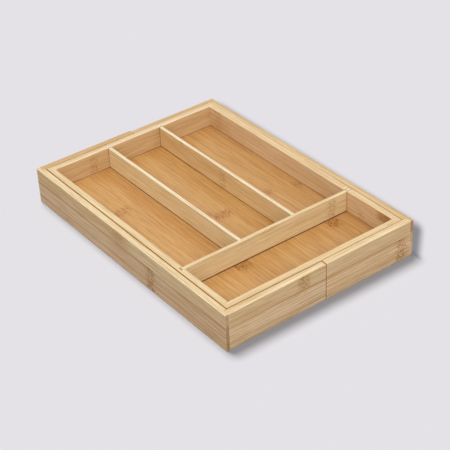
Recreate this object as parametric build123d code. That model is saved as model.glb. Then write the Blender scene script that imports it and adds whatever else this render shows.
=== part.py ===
"""Cutlery tray of pressed bamboo that widens to both sides.

An inner tray with four bays stands between two sleeves. Each sleeve is a side wall, two end walls and
a thin base, and slides out sideways: slots in its end walls run on guide strips let into the inner
tray. X is the width and the way the sleeves slide, -Y is the front with the cross bay, +Z is up. The
origin is the middle of the closed tray, on the surface that it stands on. Millimetres.
"""
from build123d import *
import os

# Closed tray, outside
tray_length = 430.0
tray_width = 306.0
rim_height = 54.5

# Boards of all the walls: edges are rounded over, and a long wall laps a short one by its lip
board = 9.4
eased_edge = 0.8
corner_lip = 5.0

# Running gaps
closing_gap = 0.7
end_gap = 1.1
slide_clearance = 0.3
split_gap = 1.0
split_offset = 4.9

# The right sleeve is not quite level: its rim stands proud in front and lies low behind
right_front_rise = 0.7
right_back_drop = 1.5

# Floor panels and the groove that holds them
sleeve_base_lift = 4.0
sleeve_base_thickness = 4.0
floor_height = 22.6
centre_base_thickness = 4.6
groove_depth = 4.0
groove_play = 0.5

# Dividers and the dados that hold them: the cross divider is pushed home on the right, so that its
# play shows as a gap at its left end
divider_thickness = 5.0
divider_ease = 0.6
divider_lift = 0.4
front_bay = 86.5
middle_bay = 83.6
wall_dado_depth = 4.0
cross_dado_depth = 1.5
dado_play = 0.5

# Guide strips and the slots that they run in
guide_length = 30.0
guide_height = 6.4
guide_level = 34.0
guide_recess = 3.0
guide_setback = 7.5
guide_ease = 0.8
slot_depth = 5.0
slot_end_wood = 14.7

# Cutters reach this far past a face that they go through
overrun = 2.0

# Outer and inner faces, as distances from the middle of the tray
half_width = tray_width / 2
half_length = tray_length / 2
sleeve_inner_width = half_width - board
sleeve_inner_length = half_length - board
centre_half_width = sleeve_inner_width - closing_gap
centre_half_length = sleeve_inner_length - end_gap
bay_half_width = centre_half_width - board
bay_half_length = centre_half_length - board

# Heights of the panels, the inner tray and the guide strips
sleeve_base_span = (sleeve_base_lift, sleeve_base_lift + sleeve_base_thickness)
centre_base_span = (floor_height - centre_base_thickness, floor_height)
centre_span = (sleeve_base_span[1] + slide_clearance, rim_height)
divider_span = (floor_height + divider_lift, rim_height)
guide_span = (guide_level - guide_height / 2, guide_level + guide_height / 2)
slot_span = (guide_span[0] - slide_clearance, guide_span[1] + slide_clearance)

# Places along the width and the length
cross_divider_y = (front_bay - bay_half_length, front_bay - bay_half_length + divider_thickness)
long_divider_x = (middle_bay / 2, middle_bay / 2 + divider_thickness)
guide_x = (centre_half_width - guide_setback - guide_length, centre_half_width - guide_setback)
slot_inner_end = split_offset + split_gap / 2 + slot_end_wood
travel = guide_x[0] - slide_clearance - slot_inner_end


def block(x_span, y_span, z_span):
    """Straight-sided solid between two corners, the blank of a panel or a cutter."""
    corner = Vector(min(x_span), min(y_span), min(z_span))
    size = Vector(max(x_span), max(y_span), max(z_span)) - corner
    return Pos(corner) * Box(size.X, size.Y, size.Z, align=(Align.MIN, Align.MIN, Align.MIN))


def mirrored(span, direction):
    """The same stretch, on the other side of the middle where direction is -1."""
    return tuple(direction * place for place in span)


def end_outline(z_span, thickness, ease):
    """Outline of a board's end, thickness across and height up, with its corners rounded."""
    outline = Pos(0, sum(z_span) / 2) * Rectangle(thickness, max(z_span) - min(z_span))
    return fillet(outline.vertices(), ease)


def board_along_y(middle_x, y_span, front_z_span, back_z_span, thickness, ease):
    """Board with its grain along Y, lofted from its front end to its back end."""
    ends = []
    for y, z_span in zip(y_span, (front_z_span, back_z_span)):
        place = Plane(origin=(middle_x, y, 0), x_dir=(-1, 0, 0), z_dir=(0, 1, 0))
        ends.append(place * end_outline(z_span, thickness, ease))
    return loft(ends, ruled=True)


def board_along_x(x_span, middle_y, z_span, thickness, ease):
    """Board with its grain along X, swept from its end outline."""
    place = Plane(origin=(min(x_span), middle_y, 0), x_dir=(0, 1, 0), z_dir=(1, 0, 0))
    return extrude(place * end_outline(z_span, thickness, ease), max(x_span) - min(x_span))


def panel_groove(x_reach, y_reach, z_span):
    """Cutter for the groove that a floor panel sits in, out to these faces and groove_depth more."""
    x_cut = x_reach + groove_depth
    y_cut = y_reach + groove_depth
    return block((-x_cut, x_cut), (-y_cut, y_cut), z_span)


def long_wall(side, outer_face, half_span, front_z_span, back_z_span):
    """Wall along Y, rabbeted at both ends so that only its lip laps the short walls."""
    y_span = (-half_span, half_span)
    wall = board_along_y(side * (outer_face - board / 2), y_span, front_z_span, back_z_span, board, eased_edge)
    rabbet_x = mirrored((outer_face - board - overrun, outer_face - corner_lip), side)
    for end in (-1, 1):
        rabbet_y = mirrored((half_span - board, half_span + overrun), end)
        wall -= block(rabbet_x, rabbet_y, (min(front_z_span) - overrun, max(front_z_span) + overrun))
    return wall


def upright_edges(solid, x=None, y=None):
    """Upright edges of a solid that lie at this X or this Y."""
    def lies_there(edge):
        middle = edge.center()
        return abs(middle.X - x) < eased_edge / 2 if y is None else abs(middle.Y - y) < eased_edge / 2
    return solid.edges().filter_by(Axis.Z).filter_by(lies_there)


def centre_side_wall(side):
    """Long wall of the inner tray, grooved for the floor, with the dado of the cross divider."""
    wall = long_wall(side, centre_half_width, centre_half_length, centre_span, centre_span)
    wall -= panel_groove(bay_half_width, half_length, centre_base_span)
    dado_x = mirrored((bay_half_width - overrun, bay_half_width + wall_dado_depth), side)
    return wall - block(dado_x, cross_divider_y, (floor_height, rim_height + overrun))


def centre_end_wall(end):
    """Short wall of the inner tray, grooved for the floor and recessed outside for the guide strips."""
    reach = centre_half_width - corner_lip
    wall = board_along_x((-reach, reach), end * (centre_half_length - board / 2), centre_span, board, eased_edge)
    wall -= panel_groove(half_width, bay_half_length, centre_base_span)
    recess_y = mirrored((centre_half_length - guide_recess, centre_half_length + overrun), end)
    for side in (-1, 1):
        wall -= block(mirrored(guide_x, side), recess_y, guide_span)
    return wall


def centre_back_wall():
    """The inner tray's back wall also has the dados of the two long dividers."""
    wall = centre_end_wall(1)
    dado_y = (bay_half_length - overrun, bay_half_length + wall_dado_depth)
    for side in (-1, 1):
        wall -= block(mirrored(long_divider_x, side), dado_y, (floor_height, rim_height + overrun))
    return wall


def centre_base():
    """Floor panel of the inner tray, loose by groove_play at the bottom of its grooves."""
    reach = groove_depth - groove_play
    x_edge = bay_half_width + reach
    y_edge = bay_half_length + reach
    return block((-x_edge, x_edge), (-y_edge, y_edge), centre_base_span)


def cross_divider():
    """Divider behind the front bay, with shallow dados behind for the long dividers."""
    reach = bay_half_width + wall_dado_depth
    x_span = (dado_play - reach, reach)
    middle_y = sum(cross_divider_y) / 2
    divider = board_along_x(x_span, middle_y, divider_span, divider_thickness, divider_ease)
    dado_y = (max(cross_divider_y) - cross_dado_depth, max(cross_divider_y) + overrun)
    for side in (-1, 1):
        divider -= block(mirrored(long_divider_x, side), dado_y, (0, rim_height + overrun))
    return divider


def long_divider(side):
    """Divider between two long bays, from the cross divider's dado into the back wall's."""
    y_span = (max(cross_divider_y) - cross_dado_depth, bay_half_length + wall_dado_depth)
    middle_x = side * sum(long_divider_x) / 2
    return board_along_y(middle_x, y_span, divider_span, divider_span, divider_thickness, divider_ease)


def guide_strip(side, end):
    """Strip glued into the end wall's recess, with its leading corners rounded for the slot."""
    nose = centre_half_length + end_gap + slot_depth - slide_clearance
    y_span = mirrored((centre_half_length - guide_recess, nose), end)
    strip = block(mirrored(guide_x, side), y_span, guide_span)
    return fillet(upright_edges(strip, y=end * nose), guide_ease)


def sleeve_heights(side):
    """Height of a sleeve's rim in front and behind."""
    if side > 0:
        return rim_height + right_front_rise, rim_height - right_back_drop
    return rim_height, rim_height


def sleeve_inner_end(side):
    """X where a sleeve's end walls and base stop, at the split between the two sleeves."""
    return split_offset + side * split_gap / 2


def sleeve_side_wall(side):
    """Long wall of a sleeve, as long as the tray, with its outer corners rounded."""
    front_height, back_height = sleeve_heights(side)
    wall = long_wall(side, half_width, half_length, (0, front_height), (0, back_height))
    wall = fillet(upright_edges(wall, x=side * half_width), eased_edge)
    return wall - panel_groove(sleeve_inner_width, tray_length, sleeve_base_span)


def sleeve_end_wall(side, end):
    """Short wall of a sleeve, grooved for the base, with the blind slot of a guide strip."""
    front_height, back_height = sleeve_heights(side)
    height = front_height if end < 0 else back_height
    inner_end = sleeve_inner_end(side)
    x_span = (inner_end, side * (half_width - corner_lip))
    wall = board_along_x(x_span, end * (half_length - board / 2), (0, height), board, eased_edge)
    wall = fillet(upright_edges(wall, x=inner_end), eased_edge)
    wall -= panel_groove(half_width, sleeve_inner_length, sleeve_base_span)
    slot_x = mirrored((slot_inner_end, half_width), side)
    slot_y = mirrored((sleeve_inner_length - overrun, sleeve_inner_length + slot_depth), end)
    return wall - block(slot_x, slot_y, slot_span)


def sleeve_base(side):
    """Thin floor panel of a sleeve, open to the other sleeve at the split."""
    reach = groove_depth - groove_play
    y_edge = sleeve_inner_length + reach
    x_span = (sleeve_inner_end(side), side * (sleeve_inner_width + reach))
    return block(x_span, (-y_edge, y_edge), sleeve_base_span)


def make_pieces():
    """Every piece of the tray by name."""
    sides = {"left": -1, "right": 1}
    ends = {"front": -1, "back": 1}
    pieces = {
        "centre_front_wall": centre_end_wall(ends["front"]),
        "centre_back_wall": centre_back_wall(),
        "centre_base": centre_base(),
        "cross_divider": cross_divider(),
    }
    for side_name, side in sides.items():
        pieces[f"centre_{side_name}_wall"] = centre_side_wall(side)
        pieces[f"long_divider_{side_name}"] = long_divider(side)
        pieces[f"{side_name}_sleeve_side_wall"] = sleeve_side_wall(side)
        pieces[f"{side_name}_sleeve_base"] = sleeve_base(side)
        for end_name, end in ends.items():
            pieces[f"guide_{end_name}_{side_name}"] = guide_strip(side, end)
            pieces[f"{side_name}_sleeve_{end_name}_wall"] = sleeve_end_wall(side, end)
    return pieces


os.makedirs("parts", exist_ok=True)
for name, solid in make_pieces().items():
    export_step(solid, f"parts/{name}.step")
print(f"each sleeve slides {travel:.2f} mm, and the tray widens from {tray_width:.1f} mm "
      f"to {tray_width + 2 * travel:.1f} mm")
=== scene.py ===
"""Looks of a bamboo cutlery tray that widens: a wood of its own for every board, and a pale studio.

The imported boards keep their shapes. Each wood is made of strips and plies in the board's own measure,
in millimetres along the grain, across the strips and into the thickness, so that faces, rims and ends
of one board belong together, and the wood stays with its board when a sleeve slides.
"""
import math
from dataclasses import dataclass
from functools import partial, reduce
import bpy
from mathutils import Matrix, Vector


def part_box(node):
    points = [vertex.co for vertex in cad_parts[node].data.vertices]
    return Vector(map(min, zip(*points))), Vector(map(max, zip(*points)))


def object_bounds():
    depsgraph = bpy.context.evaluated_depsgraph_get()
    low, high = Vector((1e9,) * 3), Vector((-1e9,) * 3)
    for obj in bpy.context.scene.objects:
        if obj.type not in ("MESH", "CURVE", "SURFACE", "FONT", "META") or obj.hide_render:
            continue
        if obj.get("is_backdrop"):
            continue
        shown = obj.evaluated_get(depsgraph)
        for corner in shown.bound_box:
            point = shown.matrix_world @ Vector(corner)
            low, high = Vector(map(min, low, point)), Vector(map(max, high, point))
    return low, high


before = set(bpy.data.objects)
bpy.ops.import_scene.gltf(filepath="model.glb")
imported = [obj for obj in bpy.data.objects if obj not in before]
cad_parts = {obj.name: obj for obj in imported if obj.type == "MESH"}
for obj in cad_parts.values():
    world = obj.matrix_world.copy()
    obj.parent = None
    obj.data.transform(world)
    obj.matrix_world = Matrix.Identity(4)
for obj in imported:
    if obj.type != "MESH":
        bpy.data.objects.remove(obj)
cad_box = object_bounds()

from inspect import signature
from itertools import product

import bmesh
import bpy
from bpy.props import FloatProperty, FloatVectorProperty, PointerProperty
from bpy.types import Operator, Panel, PropertyGroup
from mathutils import Matrix, Vector

bl_info = {
    "name": "Bamboo cutlery tray",
    "version": (1, 0, 0),
    "blender": (4, 5, 0),
    "location": "3D View > Sidebar > Tray",
    "description": "Finishes the boards of a widening bamboo cutlery tray and sets up its studio",
    "category": "Material",
}

MM = 0.001
PER_METRE = 1000.0
STREAKS_IN_A_RAMP = 9

WHITE = (1.0, 1.0, 1.0, 1.0)
BLACK = (0.0, 0.0, 0.0, 1.0)

# What the wood's colour is multiplied by in its fibres, under each mask and in the cut ends
PALE_FIBRE = (1.12, 1.17, 1.28, 1.0)
DARK_FIBRE = (0.83, 0.735, 0.60, 1.0)
PORE_TINT = (0.84, 0.76, 0.68, 1.0)
STREAK_TINT = (0.76, 0.61, 0.49, 1.0)
SPECK_TINT = (0.46, 0.23, 0.11, 1.0)
# Painted highlight on the sanded edges
ARRIS_TINT = (1.10, 1.12, 1.14, 1.0)
# Painted shade on the eased edges beside the running gaps
GAP_TINT = (0.60, 0.40, 0.16, 1.0)
SEAM_TINT = (0.27, 0.11, 0.11, 1.0)
BUNDLE_TINT = (0.62, 0.54, 0.44, 1.0)

# Share that each of these marks takes in every wood
GRAIN_STREAKS = 0.5
GLUE_LINES = 0.35
DRIFT = 0.12
PORES = 0.6
# Share of the painted highlight on the edges
ARRISES = 0.5

# A patch stains the wood above the first level, and is as dark as a seam above the second
STAIN_LEVEL = 0.4
SEAM_LEVEL = 1.2

BUMP_STRENGTH = 0.6
LACQUER = {"IOR": 1.45, "Coat Weight": 0.10, "Coat Roughness": 0.30}

# Seat lines on the bays' floor: width in millimetres and strength
WALL_SEAT = (0.7, 0.85)
CROSS_DIVIDER_SEAT = (0.9, 0.85)
LONG_DIVIDER_SEAT = (0.6, 0.75)

# Soft shade beside the right sleeve: where its edges start and end, in millimetres, and its slant
SHADE_COMES_IN = (-5, 3)
SHADE_GOES_OUT = (44, 66)
SHADE_FRONT = (-23, -4)
SHADE_BACK = (-10, 25)
SHADE_SLANT = -0.90

# Lamps, in degrees: the heading and the height that each shines from, and how wide it spreads
FILL_LAMP = (-36.0, 35.0, 50.0)
TOP_LAMP = (25.0, 80.0, 116.0)
SHADOW_LAMP = (180.0, 72.6, 21.5)

CAMERA_AIM = Vector((8.64, -1.6, 0.0)) * MM
SENSOR_WIDTH = 36.0
FARTHEST_SEEN = 100.0
FLOOR_CORNERS = 96


def paint(red, green, blue):
    """Linear colour from the steps of 0 to 255 that a colour picker shows."""
    def linear(step):
        share = step / 255
        return share / 12.92 if share <= 0.04045 else ((share + 0.055) / 1.055) ** 2.4
    return (linear(red), linear(green), linear(blue))


def colour_property(name, description, steps):
    """Colour that a user can pick, with its default as picker steps."""
    return FloatVectorProperty(
        name=name, description=description, subtype="COLOR", size=3, min=0.0, max=1.0, default=paint(*steps)
    )


def factor_property(name, description, default, low=0.0):
    """Share up to 1."""
    return FloatProperty(
        name=name, description=description, subtype="FACTOR", default=default, min=low, max=1.0
    )


def length_property(name, description, default, low, high, precision=4):
    """Length in metres."""
    return FloatProperty(
        name=name, description=description, unit="LENGTH", default=default, min=low, max=high,
        precision=precision,
    )


def angle_property(name, description, degrees, low, high=math.pi):
    """Angle, with its default in degrees."""
    return FloatProperty(
        name=name, description=description, subtype="ANGLE", default=math.radians(degrees), min=low, max=high
    )


class WoodColours(PropertyGroup):
    """Colours of the sanded and lacquered bamboo."""
    wall: colour_property("Wall face", "Flat sides of the inner tray's walls", (229, 198, 147))
    wall_rim: colour_property("Wall rim", "Sanded upper edges of the inner tray's walls", (236, 209, 165))
    sleeve: colour_property("Sleeve face", "Flat sides of the sleeves' walls", (232, 199, 152))
    sleeve_rim: colour_property("Sleeve rim", "Sanded upper edges of the sleeves' walls", (238, 213, 170))
    divider: colour_property("Divider face", "Flat sides of the dividers", (236, 211, 161))
    divider_rim: colour_property("Divider rim", "Sanded upper edges of the dividers", (244, 224, 190))
    floor: colour_property("Floor", "Steamed panel under the bays", (211, 162, 98))
    sleeve_floor: colour_property("Sleeve floor", "Thin panels of the sleeves", (212, 162, 104))
    guide: colour_property("Guide strip", "Waxed strips that run in the slots", (222, 184, 132))


class WoodGrain(PropertyGroup):
    """Measures and strength of the grain."""
    strip_width: length_property("Strip width", "Width of the pressed strips", 22.6 * MM, 5 * MM, 60 * MM)
    strip_contrast: factor_property("Strip contrast", "How far neighbouring strips differ in tone", 0.30)
    fibre_contrast: factor_property("Fibre contrast", "How strongly the fibres show", 0.50)
    streak_strength: factor_property("Streak strength", "How dark the brown streaks are", 0.90)
    knuckle_strength: factor_property("Knuckle strength", "How dark the marks of the culm's nodes are", 0.80)
    relief: length_property("Relief", "Height of the raised fibres", 0.06 * MM, 0.0, 1 * MM, precision=5)
    roughness: factor_property("Roughness", "Mean roughness under the lacquer", 0.46)


class StudioSettings(PropertyGroup):
    """Floor, light and camera of the studio."""
    floor_colour: colour_property("Floor colour", "Pale studio floor and background", (228, 226, 231))
    floor_reach: length_property(
        "Floor reach", "Distance from the tray to the edge of the floor", 14.0, 1.0, 100.0
    )
    shadow_level: factor_property(
        "Shadow level", "Brightness that the floor keeps in its deepest shadow", 0.25
    )
    floor_shading: factor_property(
        "Floor shading", "How far the floor answers to light and shadow", 0.25, low=0.05
    )
    side_shade: factor_property("Side shade", "How dark the soft shade to the right of the tray is", 0.66)
    floor_bounce: factor_property(
        "Floor bounce", "How far the floor throws its light back onto the tray", 0.15
    )
    sky: factor_property("Sky", "Share of the light that comes from all round", 0.36)
    fill: factor_property("Fill", "Strength of the fill lamp in front of the tray", 0.27)
    focal_length: FloatProperty(
        name="Focal length", description="Focal length of the camera", subtype="DISTANCE_CAMERA",
        default=105.70, min=10.0, max=500.0,
    )
    camera_distance: length_property(
        "Camera distance", "Distance from the camera to its aim", 1800.8 * MM, 0.3, 10.0
    )
    camera_heading: angle_property(
        "Camera heading", "Direction that the camera looks from, turned about Z from the front",
        -36.13, -math.pi,
    )
    camera_height: angle_property(
        "Camera height", "Angle of the camera over the floor", 34.52, 0.0, math.pi / 2
    )
    camera_roll: angle_property("Camera roll", "Turn of the camera about its own axis", -2.545, -math.pi)


class TraySettings(PropertyGroup):
    """All the settings of the tray's looks."""
    colours: PointerProperty(type=WoodColours, name="Colours", description="Colours of the wood")
    grain: PointerProperty(type=WoodGrain, name="Grain", description="Measures and strength of the grain")
    studio: PointerProperty(type=StudioSettings, name="Studio", description="Floor, light and camera")


@dataclass
class Knuckle:
    """Mark of the culm's node: its place along, from where to where across, and how wide it spreads."""
    along: float
    start: float
    end: float
    spread: float = 5.0
    strength: float = 0.6
    ply: int = 0
    on_rim: bool = False
    curl: float = 0.35


@dataclass
class Patch:
    """Stretch of a board that is darker, or lighter where its strength is below zero."""
    along: tuple
    across: tuple
    strength: float
    soft: float = 6.0
    side: str = "face"


@dataclass
class Board:
    """What is particular to one board. Places are millimetres from its corner, along and across."""
    node: str
    lay: str
    wood: str
    seed: float
    shade: tuple = (1.0, 1.0, 1.0)
    rim_shade: tuple = (1.0, 1.0, 1.0)
    inner_rim_shade: tuple = ()
    end_shade: tuple = (0.86, 0.80, 0.70)
    first_strip: float = 0.0
    strips: tuple = ()
    streaks: tuple = ()
    knuckles: tuple = ()
    patches: tuple = ()
    seams: tuple = ()
    plies: int = 2
    gap_side: str = ""
    gap_shade: float = 0.55
    top_slope: float = 0.0
    strip_scale: float = 1.0
    figure: float = 1.0


def label(key):
    """Label of a shader group or of its socket, from its name in this file."""
    return key.replace("_", " ").capitalize()


class Graph:
    """Adds nodes to a tree. Any input takes a number, a vector, a colour or another node's socket."""

    def __init__(self, tree):
        self.tree = tree

    def feed(self, socket, value):
        if isinstance(value, bpy.types.NodeSocket):
            self.tree.links.new(value, socket)
        else:
            socket.default_value = value

    def node(self, kind, inputs, **settings):
        node = self.tree.nodes.new(kind)
        for name, value in settings.items():
            setattr(node, name, value)
        for key, value in inputs.items():
            self.feed(node.inputs[key], value)
        return node

    def math(self, operation, *values, clamp=False):
        node = self.node("ShaderNodeMath", dict(enumerate(values)), operation=operation, use_clamp=clamp)
        return node.outputs[0]

    def times(self, first, second, clamp=False):
        return self.math("MULTIPLY", first, second, clamp=clamp)

    def over(self, first, second):
        return self.math("DIVIDE", first, second)

    def plus(self, first, second, clamp=False):
        return self.math("ADD", first, second, clamp=clamp)

    def minus(self, first, second, clamp=False):
        return self.math("SUBTRACT", first, second, clamp=clamp)

    def scaled(self, value, gain, shift, clamp=False):
        return self.math("MULTIPLY_ADD", value, gain, shift, clamp=clamp)

    def swing(self, value, gain):
        """A value from 0 to 1, as one that swings about zero and this far in all."""
        return self.scaled(value, gain, -0.5 * gain)

    def vector(self, operation, *values):
        node = self.node("ShaderNodeVectorMath", dict(enumerate(values)), operation=operation)
        return node.outputs["Value" if operation == "DOT_PRODUCT" else "Vector"]

    def split(self, vector):
        return self.node("ShaderNodeSeparateXYZ", {0: vector}).outputs[:]

    def join(self, *values):
        return self.node("ShaderNodeCombineXYZ", dict(enumerate(values))).outputs[0]

    def fade(self, value, start, end, low=0.0, high=1.0):
        """Low up to the start, high from the end on, and smooth between."""
        limits = {"Value": value, "From Min": start, "From Max": end, "To Min": low, "To Max": high}
        return self.node("ShaderNodeMapRange", limits, interpolation_type="SMOOTHSTEP").outputs[0]

    def bell(self, value, width):
        """1 where the value is zero, falling off smoothly over the width."""
        share = self.over(value, width)
        return self.math("EXPONENT", self.times(self.times(share, share), -1.0))

    def stretched(self, place, scale, shift=None):
        """Place in a texture, from one on the board, a scale for each measure and a shift."""
        spot = self.vector("MULTIPLY", place, scale)
        return spot if shift is None else self.vector("ADD", spot, shift)

    def noise(self, place, scale, detail=1.0, roughness=0.5, shift=None):
        inputs = {
            "Vector": self.stretched(place, scale, shift), "Scale": 1.0, "Detail": detail,
            "Roughness": roughness,
        }
        return self.node("ShaderNodeTexNoise", inputs).outputs[0]

    def mix(self, factor, first, second, mode="MIX"):
        node = self.node("ShaderNodeMix", {0: factor}, data_type="RGBA", blend_type=mode)
        self.feed(node.inputs[6], first)
        self.feed(node.inputs[7], second)
        return node.outputs[2]

    def tint(self, first, second):
        """Both colours multiplied."""
        return self.mix(1.0, first, second, "MULTIPLY")

    def group(self, name, **inputs):
        node = self.tree.nodes.new("ShaderNodeGroup")
        node.node_tree = bpy.data.node_groups[name]
        for key, value in inputs.items():
            self.feed(node.inputs[label(key)], value)
        return node.outputs


def empty_graph(block):
    """Graph of a material or a world, with nothing in it."""
    block.use_nodes = True
    block.node_tree.nodes.clear()
    return Graph(block.node_tree)


SOCKETS = {"VALUE": "NodeSocketFloat", "VECTOR": "NodeSocketVector", "RGBA": "NodeSocketColor"}


def build_group(maker):
    """Makes a shader group. The arguments of its maker, after the graph, are its inputs with their
    defaults, and what the maker returns are its outputs by name."""
    tree = bpy.data.node_groups.new(label(maker.__name__), "ShaderNodeTree")
    inputs = [item for item in signature(maker).parameters.values() if item.name != "graph"]
    for item in inputs:
        kind = "VALUE" if isinstance(item.default, float) else {3: "VECTOR", 4: "RGBA"}[len(item.default)]
        socket = tree.interface.new_socket(label(item.name), in_out="INPUT", socket_type=SOCKETS[kind])
        socket.default_value = item.default
    graph = Graph(tree)
    results = maker(graph, *tree.nodes.new("NodeGroupInput").outputs[:len(inputs)])
    for key, result in results.items():
        tree.interface.new_socket(label(key), in_out="OUTPUT", socket_type=SOCKETS[result.type])
    out = tree.nodes.new("NodeGroupOutput").inputs
    for key, result in results.items():
        graph.feed(out[label(key)], result)


def board_place(graph, corner=(0, 0, 0), along=(1, 0, 0), across=(0, 1, 0), into=(0, 0, 1)):
    """A board's own measure in millimetres, and which way its surface faces there."""
    here = graph.node("ShaderNodeTexCoord", {}).outputs
    reach = graph.vector("SUBTRACT", here["Object"], corner)
    reach = graph.vector("MULTIPLY", reach, (PER_METRE, PER_METRE, PER_METRE))
    steps = [graph.vector("DOT_PRODUCT", reach, way) for way in (along, across, into)]
    end, rim = (
        graph.math("ABSOLUTE", graph.vector("DOT_PRODUCT", here["Normal"], way)) for way in (along, across)
    )
    return {
        "place": graph.join(*steps), "end": graph.fade(end, 0.6, 0.8), "rim": graph.fade(rim, 0.45, 0.75)
    }


def pressed_strips(
    graph, place=(0, 0, 0), strip_width=20.0, first_strip=0.0, ply_thickness=5.0, plies=2.0, ply_shift=0.41,
    seed=0.0,
):
    """Plies and the strips in them, with a tone for each strip and the glue lines between."""
    _, across, into = graph.split(place)
    ply = graph.math("FLOOR", graph.over(into, ply_thickness))
    ply = graph.math("MINIMUM", graph.math("MAXIMUM", ply, 0.0), graph.minus(plies, 1.0))
    strips = graph.over(graph.minus(across, first_strip), strip_width)
    strips = graph.plus(strips, graph.times(ply, ply_shift))
    inside = graph.math("FRACT", strips)
    edge = graph.times(graph.math("MINIMUM", inside, graph.minus(1.0, inside)), strip_width)
    key = graph.join(graph.math("FLOOR", strips), ply, seed)
    random = graph.node("ShaderNodeTexWhiteNoise", {"Vector": key}, noise_dimensions="3D").outputs["Value"]
    return {
        "ply": ply, "tone": graph.swing(random, 2.0), "strip_seed": graph.scaled(random, 40.0, seed),
        "glue_line": graph.fade(edge, 0.1, 0.5, 1.0, 0.0),
    }


def bamboo_fibres(graph, place=(0, 0, 0), seed=0.0):
    """Fibres along the grain, a slow drift of tone, brown streaks and the short dashes of the pores."""
    shift = graph.join(graph.times(seed, 7.3), seed, seed)
    wander = graph.noise(place, (0.016, 0.05, 0.05))
    place = graph.vector("ADD", place, graph.join(0.0, graph.swing(wander, 3.0), 0.0))

    def threads(along, across, detail, roughness=0.5):
        return graph.noise(place, (along, across, across), detail, roughness, shift)

    coarse = graph.swing(threads(0.010, 0.40, 4.0, 0.66), 3.6)
    fine = graph.swing(threads(0.030, 1.05, 3.0, 0.6), 3.6)
    return {
        "fibre": graph.plus(coarse, fine), "drift": graph.swing(threads(0.0045, 0.10, 2.0), 3.0),
        "streak": graph.fade(threads(0.007, 0.62, 1.0), 0.56, 0.76),
        "pore": graph.fade(threads(0.075, 1.25, 1.0), 0.60, 0.74),
    }


def culm_figure(graph, place=(0, 0, 0), seed=0.0):
    """What all the knuckles of a board share: dots, curling lines, pale flecks and their waves."""
    shift = graph.join(seed, seed, 0.0)
    spot = graph.stretched(place, (0.33, 0.40, 0.10), shift)
    cells = graph.node("ShaderNodeTexVoronoi", {"Vector": spot, "Scale": 1.0}).outputs
    chance = graph.node("ShaderNodeSeparateColor", {0: cells["Color"]}).outputs[0]
    dots = graph.fade(cells["Distance"], 0.26, 0.50, 1.0, 0.0)
    swirl = graph.noise(place, (0.13, 0.16, 0.1), shift=shift)
    flecks = graph.noise(place, (0.30, 0.44, 0.1), shift=shift)
    wave = graph.noise(place, (0.012, 0.20, 0.0), 2.0, shift=shift)
    return {
        "dots": graph.times(dots, graph.fade(chance, 0.15, 0.55, 0.1, 1.0)),
        "curls": graph.bell(graph.minus(swirl, 0.5), 0.028), "flecks": graph.fade(flecks, 0.54, 0.66),
        "wave": graph.swing(wave, 9.0),
    }


def culm_node(
    graph, place=(0, 0, 0), along=0.0, start=0.0, end=20.0, spread=5.0, strength=0.6, curl=0.3, dots=0.0,
    curls=0.0, flecks=0.0, wave=0.0,
):
    """One knuckle of the culm, a mottled band over a strip with dots and curling lines."""
    here, across, _ = graph.split(place)
    distance = graph.plus(graph.minus(here, along), wave)
    near = graph.times(graph.bell(distance, spread), 1.5, clamp=True)
    window = graph.times(*(
        graph.fade(inside, -0.8, 1.2) for inside in (graph.minus(across, start), graph.minus(end, across))
    ))
    band = graph.times(near, graph.times(window, strength))
    marks = graph.math("MAXIMUM", dots, graph.times(curls, curl))
    return {"halo": graph.times(band, graph.minus(0.45, flecks)), "specks": graph.times(marks, band)}


def sanded_arris(graph, place=(0, 0, 0), size=(1, 1, 1), width=1.2):
    """How near a point lies to an edge of its board, where sanding breaks the corner. The mask paints a
    highlight on the edges and dulls their lacquer.
    """
    along, across, into = (
        graph.math("ABSOLUTE", graph.math("MINIMUM", spot, graph.minus(whole, spot)))
        for spot, whole in zip(graph.split(place), graph.split(size))
    )
    low = graph.math("MINIMUM", along, across)
    high = graph.math("MAXIMUM", along, across)
    second = graph.math("MAXIMUM", low, graph.math("MINIMUM", high, into))
    return {"mask": graph.fade(graph.over(second, width), 0.3, 1.0, 1.0, 0.0)}


def gap_edge(graph, place=(0, 0, 0), side=0.0, reach=1.4):
    """Painted shade on the eased edge beside a running gap, at the top of a board."""
    _, across, into = graph.split(place)
    from_side = graph.math("ABSOLUTE", graph.minus(into, side))
    beside = graph.fade(graph.over(from_side, reach), 0.2, 1.0, 1.0, 0.0)
    return {"mask": graph.times(beside, graph.fade(across, 1.5, 5.0, 1.0, 0.0))}


def end_grain(graph, place=(0, 0, 0), ply_thickness=5.0):
    """Cut ends of the fibre bundles, dense towards one side of each ply."""
    _, across, into = graph.split(place)
    cells = graph.node("ShaderNodeTexVoronoi", {"Vector": graph.join(0.0, across, into), "Scale": 1.5})
    depth = graph.math("FRACT", graph.over(into, ply_thickness))
    outside = graph.minus(cells.outputs["Distance"], graph.scaled(depth, 0.20, 0.16))
    return {"bundles": graph.fade(outside, -0.06, 0.10, 1.0, 0.0)}


def board_patch(graph, place=(0, 0, 0), low=(0, 0, 0), high=(1, 1, 0), soft=5.0):
    """Soft-edged stretch of a board."""
    ragged = graph.minus(graph.noise(place, (0.06, 0.4, 0.4), 2.0), 0.5)
    below = graph.split(graph.vector("SUBTRACT", place, low))
    above = graph.split(graph.vector("SUBTRACT", high, place))
    along = graph.math("MINIMUM", below[0], above[0])
    across = graph.times(graph.math("MINIMUM", below[1], above[1]), 3.0)
    inside = graph.math("MINIMUM", along, across)
    inside = graph.plus(inside, graph.times(ragged, graph.times(soft, 2.0)))
    return {"mask": graph.fade(graph.over(inside, soft), -1.0, 1.0)}


def seat_line(graph, place=(0, 0, 0), middle=(0, 0, 0), half_size=(1, 1, 0), width=0.6):
    """Thin line of shade and dust round the foot of a piece that stands on a panel."""
    offset = graph.vector("ABSOLUTE", graph.vector("SUBTRACT", place, middle))
    along, across, _ = graph.split(graph.vector("SUBTRACT", offset, half_size))
    distance = graph.math("ABSOLUTE", graph.math("MAXIMUM", along, across))
    return {"mask": graph.fade(graph.over(distance, width), 0.5, 1.6, 1.0, 0.0)}


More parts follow.
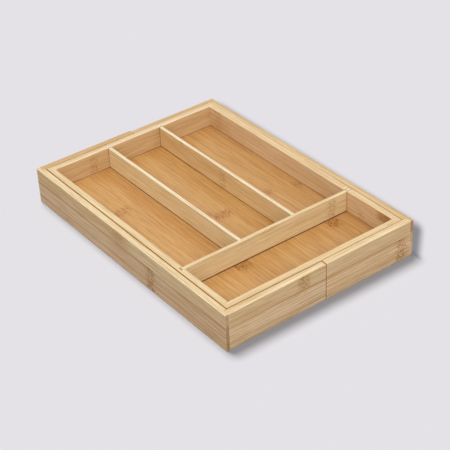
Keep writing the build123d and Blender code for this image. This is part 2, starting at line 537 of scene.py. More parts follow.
def bamboo_tint(
    graph, wood=(0.8, 0.6, 0.4, 1), tone=0.0, fibre=0.0, streak=0.0, pore=0.0, halo=0.0, specks=0.0,
    arris=0.0, gap=0.0, seam=0.0,
):
    """Colour and relief of bamboo from its masks."""
    level = graph.minus(graph.plus(tone, fibre), halo)
    level = graph.plus(level, 0.5, clamp=True)
    wood = graph.mix(level, graph.tint(wood, DARK_FIBRE), graph.tint(wood, PALE_FIBRE))
    # The edge mask paints a highlight here, and the gap mask paints shade
    for mask, colour in (
        (pore, PORE_TINT), (streak, STREAK_TINT), (specks, SPECK_TINT), (arris, ARRIS_TINT),
        (gap, GAP_TINT), (seam, SEAM_TINT),
    ):
        wood = graph.mix(graph.math("MINIMUM", mask, 1.0), wood, graph.tint(wood, colour))
    sunk = graph.plus(pore, graph.scaled(specks, 0.3, seam))
    raised = graph.scaled(halo, 0.4, fibre)
    return {"colour": wood, "height": graph.scaled(sunk, -0.8, raised)}


def lacquer_wear(graph, place=(0, 0, 0), roughness=0.45, rubbed=0.0, fibre=0.0):
    """Roughness of thin lacquer, uneven from the brush and duller where hands rub it."""
    brushed = graph.noise(place, (0.015, 0.08, 0.08), 3.0)
    level = graph.scaled(graph.minus(brushed, 0.5), 0.16, roughness)
    level = graph.scaled(fibre, 0.08, level)
    return {"roughness": graph.scaled(rubbed, 0.08, level, clamp=True)}


SHADER_GROUPS = (
    board_place, pressed_strips, bamboo_fibres, culm_figure, culm_node, sanded_arris, gap_edge, end_grain,
    board_patch, seat_line, bamboo_tint, lacquer_wear,
)

# How boards lie: the corner to measure from, low (0) or high (1), and the ways along, across and into
LAYS = {
    "long wall": ((0, 1, 1), (0, -1, 0), (0, 0, -1), (1, 0, 0)),
    "cross wall": ((0, 0, 1), (1, 0, 0), (0, 0, -1), (0, 1, 0)),
    "panel": ((0, 1, 1), (0, -1, 0), (1, 0, 0), (0, 0, -1)),
}


def board_measure(board):
    """Corner, directions and size in millimetres of a board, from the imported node's box."""
    low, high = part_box(board.node)
    picks, *directions = LAYS[board.lay]
    corner = Vector(high[i] if pick else low[i] for i, pick in enumerate(picks))
    along, across, into = (Vector(way) for way in directions)
    size = Vector(abs((high - low).dot(way)) for way in (along, across, into)) * PER_METRE
    if board.top_slope:
        corner.z -= board.top_slope * size.x * MM
        across = across + board.top_slope * along
    return corner, along, across, into, size


def strongest(graph, masks):
    """Highest of several masks, and zero if there are none."""
    return reduce(partial(graph.math, "MAXIMUM"), masks) if masks else 0.0


def ramp(graph, value, stops, stepped=False):
    """Colour that changes with a value, from stops of position and colour."""
    node = graph.node("ShaderNodeValToRGB", {"Fac": value})
    node.color_ramp.interpolation = "CONSTANT" if stepped else "LINEAR"
    elements = node.color_ramp.elements
    elements.remove(elements[1])
    for index, (position, colour) in enumerate(sorted(stops)):
        element = elements[0] if index == 0 else elements.new(position)
        element.position = position
        element.color = tuple(colour) + (1.0,)
    return node.outputs[0]


def strip_tints(graph, place, board, size):
    """Tint of each strip of the board's near ply, from (its upper edge, tint)."""
    share = graph.over(graph.split(place)[1], size.y)
    return ramp(graph, share, [(start / size.y, tint) for start, tint in board.strips], stepped=True)


def streak_level(graph, share, streaks, width):
    """Level of these streaks at a share of the width, from (place, half width, strength)."""
    levels = []
    for first in range(0, len(streaks), STREAKS_IN_A_RAMP):
        stops = {0.0: 0.0, 1.0: 0.0}
        for middle, half_width, strength in streaks[first:first + STREAKS_IN_A_RAMP]:
            stops.setdefault((middle - half_width) / width, 0.0)
            stops[middle / width] = abs(strength)
            stops.setdefault((middle + half_width) / width, 0.0)
        colour = ramp(graph, share, [(position, (level,) * 3) for position, level in stops.items()])
        levels.append(graph.node("ShaderNodeSeparateColor", {0: colour}).outputs[0])
    return strongest(graph, levels)


def chosen_streaks(graph, place, board, size):
    """Brown and pale streaks at chosen places across a board. A pale one has a strength below zero."""
    shift = (0.0, 0.0, board.seed)
    sway = graph.swing(graph.noise(place, (0.02, 0.03, 0.0), 2.0, shift=shift), 2.4)
    share = graph.over(graph.plus(graph.split(place)[1], sway), size.y)
    fading = graph.noise(place, (0.018, 0.25, 0.0), 2.0, shift=shift)
    fading = graph.fade(fading, 0.30, 0.60, 0.35, 1.0)
    brown = [streak for streak in board.streaks if streak[2] > 0]
    pale = [streak for streak in board.streaks if streak[2] < 0]
    return [graph.times(streak_level(graph, share, streaks, size.y), fading) for streaks in (brown, pale)]


def knuckle_marks(graph, board, place, rim_place, ply, rim, off_rim):
    """Halo and specks of all the knuckles of a board, each on its own ply, face or rim."""
    halos, specks = [], []
    for on_rim, spot in ((False, place), (True, rim_place)):
        knuckles = [knuckle for knuckle in board.knuckles if knuckle.on_rim == on_rim]
        if knuckles:
            figure = graph.group("Culm figure", place=spot, seed=board.seed)
        for knuckle in knuckles:
            other_ply = graph.math("ABSOLUTE", graph.minus(ply, float(knuckle.ply)))
            here = rim if on_rim else graph.times(graph.minus(1.0, other_ply, clamp=True), off_rim)
            mark = graph.group(
                "Culm node", place=spot, along=knuckle.along, start=knuckle.start, end=knuckle.end,
                spread=knuckle.spread, strength=knuckle.strength, curl=knuckle.curl, dots=figure["Dots"],
                curls=figure["Curls"], flecks=figure["Flecks"], wave=figure["Wave"],
            )
            halos.append(graph.times(mark["Halo"], here))
            specks.append(graph.times(mark["Specks"], here))
    return strongest(graph, halos), strongest(graph, specks)


def patch_tone(graph, board, place, rim_place, sides):
    """Signed tone of all the patches of a board."""
    total = 0.0
    for patch in board.patches:
        low, high = (corner + (0.0,) for corner in zip(patch.along, patch.across))
        spot = rim_place if patch.side == "rim" else place
        mask = graph.group("Board patch", place=spot, low=low, high=high, soft=patch.soft)["Mask"]
        total = graph.scaled(graph.times(mask, sides[patch.side]), patch.strength, total)
    return total


def seam_lines(graph, board, place):
    """Thin dark joints, from (measure, place, width, strength)."""
    parts = dict(zip(("along", "across", "into"), graph.split(place)))
    return strongest(graph, [
        graph.times(graph.bell(graph.minus(parts[measure], spot), width), strength)
        for measure, spot, width, strength in board.seams
    ])


def gap_shade(graph, board, place, size):
    """Painted brown shade beside a running gap."""
    if not board.gap_side:
        return 0.0
    side = {"near": 0.0, "far": size.z}[board.gap_side]
    return graph.times(graph.group("Gap edge", place=place, side=side)["Mask"], board.gap_shade)


def tinted(colour, shade):
    """Colour as four channels, times a shade."""
    return tuple(min(channel * share, 1.0) for channel, share in zip(colour, shade)) + (1.0,)


def bamboo(board, settings, extra_seams=None):
    """Lacquered bamboo of one board."""
    grain, colours = settings.grain, settings.colours
    material = bpy.data.materials.new(board.node)
    graph = empty_graph(material)
    corner, along, across, into, size = board_measure(board)
    spot = graph.group("Board place", corner=corner, along=along, across=across, into=into)
    place, rim, end = spot["Place"], spot["Rim"], spot["End"]
    off_rim = graph.minus(1.0, rim)
    steps = graph.split(place)
    rim_place = graph.join(steps[0], steps[2], steps[1])
    ply_thickness = size.z / board.plies
    strips = graph.group(
        "Pressed strips", place=place, strip_width=grain.strip_width * PER_METRE * board.strip_scale,
        first_strip=board.first_strip, ply_thickness=ply_thickness, plies=float(board.plies), seed=board.seed,
    )
    other_ply = graph.math("MINIMUM", strips["Ply"], 1.0)
    fibres = graph.group("Bamboo fibres", place=place, seed=strips["Strip seed"])
    halo, specks = knuckle_marks(graph, board, place, rim_place, strips["Ply"], rim, off_rim)
    patches = patch_tone(graph, board, place, rim_place, {"face": off_rim, "rim": rim, "end": end})
    seams = [seam_lines(graph, board, place)]

    # Tone and streaks
    streaks, pale = graph.times(fibres["Streak"], GRAIN_STREAKS), 0.0
    if board.streaks:
        chosen, pale = (graph.times(level, off_rim) for level in chosen_streaks(graph, place, board, size))
        streaks = graph.math("MAXIMUM", streaks, chosen)
    streaks = graph.math("MAXIMUM", streaks, graph.times(strips["Glue line"], GLUE_LINES))
    streaks = graph.times(streaks, grain.streak_strength)
    tone = graph.times(strips["Tone"], grain.strip_contrast)
    if board.strips:
        tone = graph.times(tone, graph.math("MAXIMUM", other_ply, rim))
    tone = graph.scaled(fibres["Drift"], DRIFT, tone)
    tone = graph.plus(graph.minus(tone, patches), pale)
    if board.patches:
        streaks = graph.math("MAXIMUM", streaks, graph.minus(patches, STAIN_LEVEL, clamp=True))
        seams.append(graph.minus(patches, SEAM_LEVEL, clamp=True))
    if extra_seams:
        seams.append(extra_seams(graph, place))

    # Colour of the faces, the rim and the cut ends
    face_colour = getattr(colours, board.wood)
    rim_colour = getattr(colours, f"{board.wood}_rim", face_colour)
    face = wood = tinted(face_colour, board.shade)
    if board.strips:
        tints = graph.mix(other_ply, strip_tints(graph, place, board, size), WHITE)
        wood = graph.tint(wood, tints)
    outer_rim = tinted(rim_colour, board.rim_shade)
    inner_rim = tinted(rim_colour, board.inner_rim_shade or board.rim_shade)
    inner_ply = graph.fade(graph.minus(steps[2], ply_thickness), -0.15, 0.15)
    wood = graph.mix(rim, wood, graph.mix(inner_ply, outer_rim, inner_rim))
    bundles = graph.group("End grain", place=place, ply_thickness=ply_thickness)["Bundles"]
    end_wood = graph.tint(face, graph.mix(bundles, WHITE, BUNDLE_TINT))
    wood = graph.mix(end, wood, graph.tint(end_wood, board.end_shade + (1.0,)))

    # Masks into colour and relief, under the lacquer
    # Edges: a painted highlight in the colour, and duller lacquer in the roughness
    arris = graph.group("Sanded arris", place=place, size=size)["Mask"]
    tint = graph.group(
        "Bamboo tint", wood=wood, tone=tone, streak=streaks, seam=strongest(graph, seams),
        gap=gap_shade(graph, board, place, size), arris=graph.times(arris, ARRISES),
        fibre=graph.times(fibres["Fibre"], grain.fibre_contrast * board.figure),
        pore=graph.times(fibres["Pore"], PORES), halo=graph.times(halo, grain.knuckle_strength),
        specks=graph.times(specks, grain.knuckle_strength),
    )
    wear = graph.group(
        "Lacquer wear", place=place, roughness=grain.roughness, rubbed=arris, fibre=fibres["Fibre"]
    )
    bump = graph.node(
        "ShaderNodeBump", {"Height": tint["Height"], "Strength": BUMP_STRENGTH, "Distance": grain.relief}
    )
    shader = graph.node("ShaderNodeBsdfPrincipled", {
        "Base Color": tint["Colour"], "Roughness": wear["Roughness"], "Normal": bump.outputs[0], **LACQUER,
    })
    graph.node("ShaderNodeOutputMaterial", {"Surface": shader.outputs[0]})
    return material


def dress(boards, context, extra_seams=None):
    """Gives each of these packed boards its wood, and reports that an operator has finished."""
    for board in boards:
        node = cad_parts[board.node]
        if not node.material_slots:
            raise RuntimeError(f"{board.node} has no material slot to dress")
        material = bamboo(board, context.scene.tray, extra_seams)
        for material_slot in node.material_slots:
            material_slot.material = material
    return {"FINISHED"}


def right_rim_slope():
    """Rise of the right sleeve's rim towards the front, per length."""
    side_low, side_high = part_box("right_sleeve_side_wall")
    back_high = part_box("right_sleeve_back_wall")[1]
    return (side_high.z - back_high.z) / (side_high.y - side_low.y)


# Strips that are all of one tone
EVEN_STRIPS = ((0, (1.0, 1.0, 1.0)),)
INNER_WALLS = (
    Board(
        "centre_left_wall", "long wall", "wall", seed=11, first_strip=14,
        knuckles=(Knuckle(345, 0.5, 4, 4, 0.5, on_rim=True), Knuckle(150, 0, 18, 6, 0.6, ply=1)),
        patches=(
            Patch((108, 138), (0.5, 4), -0.25, 5, "rim"), Patch((307.2, 313.6), (4.4, 6), 2.4, 0.6, "rim"),
        ),
        gap_side="near", gap_shade=0.95, rim_shade=(1.03, 1.06, 1.02),
    ),
    Board(
        "centre_right_wall", "long wall", "wall", seed=23, first_strip=13,
        strips=((0, (1, 1, 1)), (15, (0.98, 0.97, 0.96))),
        streaks=(
            (3.5, 0.9, 0.4), (6.5, 1, -0.3), (10, 1.2, 0.5), (14, 1, -0.35), (18, 1.3, 0.5), (21.5, 1, -0.4),
            (24.5, 1, 0.4), (27.5, 1.1, -0.5), (30, 0.9, 0.4),
        ),
        knuckles=(
            Knuckle(30, 0, 31, 8, 0.5), Knuckle(342, 20, 34, 6, 0.6), Knuckle(389, -3, 13, 8, 0.9, curl=0.8),
        ),
        patches=(
            Patch((374, 404), (-5, 13), 1, 8), Patch((8, 60), (10, 34), 0.2, 10),
            # The last patch is painted light on the rim, which lifts the shade in the notch at the cross
            # divider's end
            Patch((304, 317), (-1, 7), -0.7, 1, "rim"),
        ),
        seams=(("along", 308.1, 0.7, 0.6), ("along", 313.8, 0.6, 0.7), ("across", 32, 0.4, 0.5)),
        gap_side="far", gap_shade=0.1, shade=(1.02, 1.04, 1.17), rim_shade=(0.95, 0.9, 0.81),
        inner_rim_shade=(0.95, 0.9, 0.8),
    ),
    Board(
        "centre_front_wall", "cross wall", "wall", seed=31, first_strip=15,
        knuckles=(Knuckle(120, 0, 15, 6, 0.6, ply=1), Knuckle(262, 1, 4.5, 4, 0.6, on_rim=True)),
        gap_side="near", rim_shade=(0.97, 0.94, 0.84), inner_rim_shade=(0.97, 0.94, 0.83),
    ),
    Board(
        "centre_back_wall", "cross wall", "wall", seed=43, first_strip=9, strips=EVEN_STRIPS,
        streaks=((9, 1.6, 0.5), (16.5, 1.4, 0.45), (23, 1.2, 0.3)), knuckles=(Knuckle(65, 4, 31, 6, 0.7),),
        seams=(("across", 32, 0.4, 0.4),), gap_side="far", gap_shade=0.3, shade=(0.92, 0.9, 0.92),
        patches=(Patch((96, 180), (-2, 36), 0.12, 4),),
    ),
)
DIVIDERS = (
    Board(
        "cross_divider", "cross wall", "divider", seed=53, first_strip=16, plies=1, strips=EVEN_STRIPS,
        streaks=((2.5, 0.8, 0.3), (14, 1.2, 0.2), (23, 1, 0.2)), knuckles=(Knuckle(244, 3, 31, 6, 0.7),),
        patches=(Patch((140, 152), (-1, 1.6), 0.5, 2),),
        seams=(("along", 271, 0.5, 0.6), ("across", 31.5, 0.7, 1)), shade=(0.98, 1.01, 1.07),
        rim_shade=(1.02, 1, 0.9),
    ),
    Board(
        "long_divider_left", "long wall", "divider", seed=61, first_strip=15, plies=1, strips=EVEN_STRIPS,
        streaks=((17, 1.5, 0.25), (23, 1, 0.25)), seams=(("along", 4.5, 0.7, 0.8),), shade=(1.04, 1.09, 1.15),
        rim_shade=(0.965, 0.97, 0.92),
    ),
    Board(
        "long_divider_right", "long wall", "divider", seed=71, first_strip=12, plies=1, strips=EVEN_STRIPS,
        streaks=((7, 1.2, 0.3), (14, 1.2, 0.35), (20, 1.2, 0.3), (26, 1, 0.3)),
        knuckles=(Knuckle(154, 4, 31, 6, 0.6),),
        patches=(Patch((54, 64), (-1, 2), 0.6, 2.5), Patch((-60, 170), (-4, 36), 0.28, 40)),
        seams=(("along", 4.5, 0.7, 0.9),), shade=(1.02, 0.99, 0.97), rim_shade=(0.965, 0.97, 0.92),
    ),
)
LEFT_SLEEVE = (
    Board(
        "left_sleeve_side_wall", "long wall", "sleeve", seed=83, first_strip=20.5,
        strips=((0, (1.06, 1.09, 1.07)), (20.5, (0.99, 0.97, 0.99)), (43.5, (1.03, 1.01, 1.04))),
        streaks=(
            (6, 0.8, 0.2), (15.5, 0.9, 0.2), (20.8, 2, 1.8), (23.5, 0.8, 0.7), (26.5, 1, -0.4),
            (29.5, 0.9, 0.7), (32, 0.8, -0.35), (34.5, 1, 0.8), (37.2, 0.8, -0.45), (40, 1.1, 1),
            (43.5, 1.8, 1.4), (46.3, 1, -0.4), (49, 1, 0.8), (51.5, 0.8, -0.3), (53, 0.8, 0.6),
        ),
        knuckles=(
            Knuckle(203, 2, 19, 9, 0.5), Knuckle(273, 19, 54, 8, 1, curl=1),
            Knuckle(103, 5.2, 8.6, 5, 0.6, on_rim=True),
        ),
        patches=(
            Patch((-30, 225), (-4, 18), 0.35, 16), Patch((-10, 180), (22, 40), -0.12, 14),
            Patch((320, 440), (20, 60), 0.1, 16), Patch((425, 435), (18, 60), 0.75, 1.2, "end"),
            Patch((425, 435), (-2, 17), 0.25, 1.2, "end"),
        ),
        gap_side="far", gap_shade=0.95, rim_shade=(0.98, 0.97, 0.91), inner_rim_shade=(0.98, 0.97, 0.9),
        figure=1.6, end_shade=(0.835, 0.85, 0.96),
    ),
    Board(
        "left_sleeve_front_wall", "cross wall", "sleeve", seed=97, first_strip=21.5,
        strips=((0, (0.98, 0.96, 0.9)), (21.8, (1.06, 1.06, 1.12))),
        streaks=(
            (14, 0.8, 0.2), (22.2, 2, 1.9), (24.3, 0.9, 0.6), (27.2, 1, -0.55), (29.6, 0.8, 0.65),
            (32, 0.9, -0.6), (34.2, 0.8, 0.65), (36.6, 0.9, -0.6), (38.8, 0.8, 0.7), (41.4, 1, -0.5),
            (44, 0.8, 0.5), (46.7, 1.4, 1.5), (49.6, 0.9, -0.3), (52, 0.8, 0.6),
        ),
        knuckles=(Knuckle(117, 0, 21, 8, 0.9),),
        patches=(Patch((30, 110), (28, 44), -0.2, 8), Patch((109, 125), (1, 20), 0.3, 4)), gap_side="far",
        rim_shade=(1.04, 1.04, 1.01), figure=1.2,
    ),
    Board(
        "left_sleeve_back_wall", "cross wall", "sleeve", seed=103, first_strip=19,
        knuckles=(Knuckle(60, 0, 19, 7, 0.7, ply=1),), rim_shade=(0.79, 0.66, 0.47), gap_side="near",
        gap_shade=0.3,
    ),
)
RIGHT_SLEEVE = (
    Board(
        "right_sleeve_side_wall", "long wall", "sleeve", seed=113, first_strip=20,
        streaks=((20, 1.4, 0.5), (42, 1.4, 0.4)),
        knuckles=(Knuckle(130, 0, 20, 7, 0.7, ply=1), Knuckle(300, 20, 55, 7, 0.7, ply=1)),
        patches=(Patch((425, 435), (-2, 17), 1.15, 1.2, "end"),), end_shade=(1, 0.95, 0.98),
        rim_shade=(0.86, 0.79, 0.66), inner_rim_shade=(0.84, 0.76, 0.6), top_slope=right_rim_slope(),
        gap_side="near", gap_shade=0.1,
    ),
    Board(
        "right_sleeve_front_wall", "cross wall", "sleeve", seed=127, first_strip=21.5,
        strips=((0, (1.01, 1.01, 0.97)), (21.8, (1.07, 1.04, 1.04))),
        streaks=(
            (10, 0.8, 0.15), (22, 1.7, 1.3), (25, 0.8, 0.5), (27.5, 0.9, -0.3), (30, 0.8, 0.4),
            (32.5, 0.9, -0.35), (35.5, 0.9, 0.6), (38.2, 0.9, -0.3), (41, 0.8, 0.3), (46, 1.2, 0.8),
            (48.3, 0.8, -0.3), (50.3, 0.9, 0.5), (53, 0.7, 0.4),
        ),
        knuckles=(Knuckle(127, 21, 55, 7.5, 1.25, curl=0.2),), gap_side="far", rim_shade=(1.06, 1.07, 1.03),
        figure=1.15,
    ),
    Board(
        "right_sleeve_back_wall", "cross wall", "sleeve", seed=131, first_strip=18,
        knuckles=(Knuckle(80, 18, 54, 7, 0.7, ply=1),), rim_shade=(0.86, 0.78, 0.66), gap_side="near",
        gap_shade=0.3,
    ),
)
LIGHT_STRIP = (1.03, 1.055, 1.07)
MIDDLE_STRIP = (1, 1, 0.99)
DARK_STRIP = (0.965, 0.93, 0.875)
HONEY_STRIP = (0.94, 0.915, 0.84)
DULL_STRIP = (0.965, 0.975, 0.99)
SOFT_STRIP = (0.99, 1.02, 1)
FLOOR = Board(
    "centre_base", "panel", "floor", seed=139, first_strip=8, plies=1, strip_scale=0.9, figure=1.4,
    strips=(
        (0, MIDDLE_STRIP), (16, LIGHT_STRIP), (53, MIDDLE_STRIP), (69, DARK_STRIP), (80.5, DULL_STRIP),
        (89, HONEY_STRIP), (106, DARK_STRIP), (121, DULL_STRIP), (134, SOFT_STRIP), (153.5, HONEY_STRIP),
        (164, SOFT_STRIP), (178, DULL_STRIP), (195, HONEY_STRIP), (212, DULL_STRIP),
        (250, (0.96, 0.965, 1.02)),
    ),
    streaks=(
        (53, 1.6, 0.5), (69, 2, 0.45), (84, 1.4, 0.4), (124, 1, 0.3), (153, 1.8, 0.5), (166, 1.2, 0.35),
        (200, 1.2, 0.4), (236, 1.4, 0.4), (252, 1.2, 0.35),
    ),
    knuckles=(
        Knuckle(111, 28, 53, 7, 0.8, curl=0.8), Knuckle(206, 125, 153, 7, 1.2, curl=0.8),
        Knuckle(194, 121, 130, 5, 0.7), Knuckle(202, 216, 229, 6, 0.75, curl=0.8),
        Knuckle(212, 258, 270, 6, 0.9), Knuckle(315, 77, 100, 7, 1.2, curl=0.9),
        Knuckle(317, 230, 250, 7, 1.7, curl=0.6),
    ),
    patches=(
        # The first patch is painted shade at the right end of the front bay, towards the corner
        Patch((322, 420), (226, 290), 0.28, 14), Patch((316, 425), (-20, 230), 0.12, 6),
        Patch((316, 425), (48, 84), -0.28, 4), Patch((316, 425), (157, 169), -0.3, 3),
        Patch((-20, 425), (228, 248), 0.12, 5),
    ),
)
SLEEVE_PANELS = (
    Board(
        "left_sleeve_base", "panel", "sleeve_floor", seed=149, first_strip=5, plies=1,
        knuckles=(Knuckle(90, 5, 27, 7, 0.7), Knuckle(280, 27, 50, 7, 0.7), Knuckle(180, 50, 72, 7, 0.7)),
    ),
    Board(
        "right_sleeve_base", "panel", "sleeve_floor", seed=157, first_strip=9, plies=1,
        knuckles=(Knuckle(130, 76, 98, 7, 0.7), Knuckle(310, 98, 121, 7, 0.7), Knuckle(40, 121, 142, 7, 0.6)),
    ),
)
GUIDES = tuple(
    Board(f"guide_{end}_{side}", "cross wall", "guide", seed=163.0 + 7.0 * index, plies=1)
    for index, (end, side) in enumerate(product(("front", "back"), ("left", "right")))
)


def floor_seats(graph, place):
    """Dark lines on the floor along the walls and round the foot of each divider."""
    corner, along, across, _, _ = board_measure(FLOOR)

    def seat(box, width, strength):
        low, high = (
            Vector(((spot - corner).dot(along), (spot - corner).dot(across), 0.0)) * PER_METRE for spot in box
        )
        half_size = Vector(abs(step) for step in (high - low) / 2)
        foot = graph.group(
            "Seat line", place=place, middle=(low + high) / 2, half_size=half_size, width=width
        )
        return graph.times(foot["Mask"], strength)

    left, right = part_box("centre_left_wall")[1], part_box("centre_right_wall")[0]
    front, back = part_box("centre_front_wall")[1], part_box("centre_back_wall")[0]
    bays = (Vector((left.x, front.y, 0)), Vector((right.x, back.y, 0)))
    seats = [seat(bays, *WALL_SEAT), seat(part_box("cross_divider"), *CROSS_DIVIDER_SEAT)]
    seats += [seat(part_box(name), *LONG_DIVIDER_SEAT) for name in ("long_divider_left", "long_divider_right")]
    return strongest(graph, seats)


class TRAY_OT_shader_groups(Operator):
    """Make the shared shader groups for grain, knuckles, end grain, worn edges with a painted highlight, and
    lacquer
    """
    bl_idname = "tray.shader_groups"
    bl_label = "Shader groups"

    def execute(self, context):
        for maker in SHADER_GROUPS:
            build_group(maker)
        return {"FINISHED"}


class TRAY_OT_inner_walls(Operator):
    """Finish the four walls of the inner tray"""
    bl_idname = "tray.inner_walls"
    bl_label = "Inner walls"

    def execute(self, context):
        return dress(INNER_WALLS, context)


class TRAY_OT_dividers(Operator):
    """Finish the cross divider and the two long dividers"""
    bl_idname = "tray.dividers"
    bl_label = "Dividers"

    def execute(self, context):
        return dress(DIVIDERS, context)


class TRAY_OT_bay_floor(Operator):
    """Finish the steamed floor panel of the bays"""
    bl_idname = "tray.bay_floor"
    bl_label = "Bay floor"

    def execute(self, context):
        return dress([FLOOR], context, floor_seats)


class TRAY_OT_sleeves(Operator):
    """Finish the walls of both sleeves"""
    bl_idname = "tray.sleeves"
    bl_label = "Sleeve walls"

    def execute(self, context):
        return dress(LEFT_SLEEVE + RIGHT_SLEEVE, context)


class TRAY_OT_sleeve_panels(Operator):
    """Finish the thin floor panels of the sleeves"""
    bl_idname = "tray.sleeve_panels"
    bl_label = "Sleeve panels"

    def execute(self, context):
        return dress(SLEEVE_PANELS, context)


class TRAY_OT_guides(Operator):
    """Finish the waxed guide strips"""
    bl_idname = "tray.guides"
    bl_label = "Guide strips"

    def execute(self, context):
        return dress(GUIDES, context)


def side_shade(graph):
    """Mask on the floor of the soft shade beside the right sleeve, slanted at both ends. It moves with it."""
    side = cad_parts["right_sleeve_side_wall"]
    low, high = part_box(side.name)
    back_end = (high.y - low.y) * PER_METRE
    here = graph.node("ShaderNodeTexCoord", {}, object=side).outputs["Object"]
    offset = graph.vector("SUBTRACT", here, (high.x, low.y, 0.0))
    beside = graph.split(offset)[0]
    behind = graph.vector("DOT_PRODUCT", offset, (SHADE_SLANT, 1.0, 0.0))
    shade = 1.0
    for value, zero, (start, end), levels in (
        (beside, 0.0, SHADE_COMES_IN, (0.0, 1.0)), (beside, 0.0, SHADE_GOES_OUT, (1.0, 0.0)),
        (behind, 0.0, SHADE_FRONT, (0.0, 1.0)), (behind, back_end, SHADE_BACK, (1.0, 0.0)),
    ):
        edge = graph.fade(value, (zero + start) * MM, (zero + end) * MM, *levels)
        shade = graph.times(shade, edge)
    return shade


def studio_floor(studio):
    """Large flat floor round the tray. The camera sees it glow a little, so that its shadows stay pale."""
    mesh = bpy.data.meshes.new("studio_floor")
    shape = bmesh.new()
    bmesh.ops.create_circle(shape, cap_ends=True, radius=studio.floor_reach, segments=FLOOR_CORNERS)
    shape.to_mesh(mesh)
    shape.free()
    floor = bpy.data.objects.new("studio_floor", mesh)
    bpy.context.scene.collection.objects.link(floor)
    material = bpy.data.materials.new("studio_floor")
    graph = empty_graph(material)
    colour = Vector(studio.floor_colour)
    shade = graph.times(side_shade(graph), studio.side_shade)

    def dimmed(strength):
        return graph.mix(shade, tuple(colour * strength) + (1.0,), BLACK)

    shaded = graph.node("ShaderNodeBsdfDiffuse", {"Color": dimmed(studio.floor_shading)})
    glow = graph.node("ShaderNodeEmission", {"Color": dimmed(studio.shadow_level), "Strength": 1.0})
    seen = graph.node("ShaderNodeAddShader", {0: shaded.outputs[0], 1: glow.outputs[0]})
    bounce = graph.node("ShaderNodeBsdfDiffuse", {"Color": tuple(colour * studio.floor_bounce) + (1.0,)})
    camera_ray = graph.node("ShaderNodeLightPath", {}).outputs["Is Camera Ray"]
    either = graph.node("ShaderNodeMixShader", {0: camera_ray, 1: bounce.outputs[0], 2: seen.outputs[0]})
    graph.node("ShaderNodeOutputMaterial", {"Surface": either.outputs[0]})
    mesh.materials.append(material)
    floor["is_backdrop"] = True
    return floor


def studio_sky(studio):
    """Even light from all round, which shows as the pale background."""
    world = bpy.data.worlds.new("studio_sky")
    graph = empty_graph(world)
    rays = graph.node("ShaderNodeLightPath", {}).outputs
    seen = strongest(graph, [rays["Is Camera Ray"], rays["Is Glossy Ray"], rays["Is Transmission Ray"]])
    light = graph.node("ShaderNodeBackground", {"Color": WHITE, "Strength": studio.sky})
    backdrop = graph.node(
        "ShaderNodeBackground", {"Color": tuple(studio.floor_colour) + (1.0,), "Strength": 1.0}
    )
    either = graph.node("ShaderNodeMixShader", {0: seen, 1: light.outputs[0], 2: backdrop.outputs[0]})
    graph.node("ShaderNodeOutputWorld", {"Surface": either.outputs[0]})
    bpy.context.scene.world = world


def direction(heading, height):
    """Direction to a heading, turned about Z from the front, and to a height over the floor."""
    level = math.cos(height)
    return Vector((math.sin(heading) * level, -math.cos(heading) * level, math.sin(height)))


def share_on_floor(angles):
    """Share of a lamp's strength that reaches a level floor."""
    return math.sin(math.radians(angles[1]))


def distant_lamp(name, angles, strength, lit):
    """Even lamp far away, from a heading, a height and a spread, that lights these objects."""
    heading, height, spread = (math.radians(angle) for angle in angles)
    data = bpy.data.lights.new(name, "SUN")
    data.energy = strength * math.pi
    data.angle = spread
    lamp = bpy.data.objects.new(name, data)
    lamp.rotation_euler = direction(heading, height).to_track_quat("Z", "Y").to_euler()
    bpy.context.scene.collection.objects.link(lamp)
    group = bpy.data.collections.new(f"lit_by_{name}")
    for item in lit:
        group.objects.link(item)
    lamp.light_linking.receiver_collection = group


def studio_camera(studio):
    """Camera where the photograph was taken from."""
    roll = studio.camera_roll
    back = direction(studio.camera_heading, studio.camera_height)
    level = (-back).cross(Vector((0, 0, 1))).normalized()
    upright = level.cross(-back)
    right = math.cos(roll) * level + math.sin(roll) * upright
    up = math.cos(roll) * upright - math.sin(roll) * level
    data = bpy.data.cameras.new("camera")
    data.sensor_width = SENSOR_WIDTH
    data.lens = studio.focal_length
    data.clip_end = FARTHEST_SEEN
    camera = bpy.data.objects.new("camera", data)
    place = CAMERA_AIM + back * studio.camera_distance
    turn = Matrix((right, up, back)).transposed()
    camera.matrix_world = Matrix.Translation(place) @ turn.to_4x4()
    bpy.context.scene.collection.objects.link(camera)
    bpy.context.scene.camera = camera


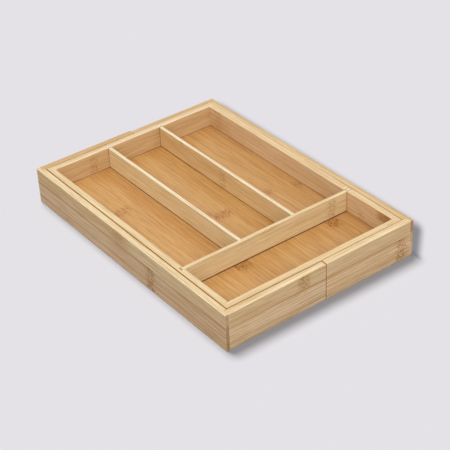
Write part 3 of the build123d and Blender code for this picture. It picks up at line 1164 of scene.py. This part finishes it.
class TRAY_OT_studio(Operator):
    """Set up the pale floor, the soft light and the camera"""
    bl_idname = "tray.studio"
    bl_label = "Studio"

    def execute(self, context):
        scene = context.scene
        studio = scene.tray.studio
        floor = studio_floor(studio)
        studio_sky(studio)
        boards = list(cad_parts.values())
        top_light = 1.0 - studio.sky - studio.fill * share_on_floor(FILL_LAMP)
        floor_light = (1.0 - studio.shadow_level) / studio.floor_shading - studio.sky
        distant_lamp("fill_lamp", FILL_LAMP, studio.fill, boards)
        distant_lamp("top_lamp", TOP_LAMP, top_light, boards)
        distant_lamp("shadow_lamp", SHADOW_LAMP, floor_light / share_on_floor(SHADOW_LAMP), [floor])
        studio_camera(studio)
        scene.view_settings.view_transform = "Standard"
        return {"FINISHED"}


OPERATORS = (
    TRAY_OT_shader_groups, TRAY_OT_inner_walls, TRAY_OT_dividers, TRAY_OT_bay_floor, TRAY_OT_sleeves,
    TRAY_OT_sleeve_panels, TRAY_OT_guides, TRAY_OT_studio,
)


class TRAY_PT_looks(Panel):
    """Looks of the bamboo tray"""
    bl_label = "Bamboo tray"
    bl_space_type = "VIEW_3D"
    bl_region_type = "UI"
    bl_category = "Tray"

    def draw(self, context):
        settings = context.scene.tray
        for operator in OPERATORS:
            self.layout.operator(operator.bl_idname)
        for part in (settings.colours, settings.grain, settings.studio):
            box = self.layout.box()
            for name in part.__annotations__:
                box.prop(part, name)


CLASSES = (WoodColours, WoodGrain, StudioSettings, TraySettings) + OPERATORS + (TRAY_PT_looks,)


def register():
    for item in CLASSES:
        bpy.utils.register_class(item)
    bpy.types.Scene.tray = PointerProperty(
        type=TraySettings, name="Bamboo tray", description="Looks of the bamboo tray"
    )


def unregister():
    del bpy.types.Scene.tray
    for item in reversed(CLASSES):
        bpy.utils.unregister_class(item)


def main():
    """Dresses the tray, sets up the studio and works out the sizes of both models."""
    register()
    bpy.ops.tray.shader_groups()
    bpy.ops.tray.inner_walls()
    bpy.ops.tray.dividers()
    bpy.ops.tray.bay_floor()
    bpy.ops.tray.sleeves()
    bpy.ops.tray.sleeve_panels()
    bpy.ops.tray.guides()
    bpy.ops.tray.studio()
    sizes = {
        "cad": [[float(step) for step in end] for end in cad_box],
        "visual": [[float(step) for step in end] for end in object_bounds()],
    }


if __name__ == "__main__":
    main()
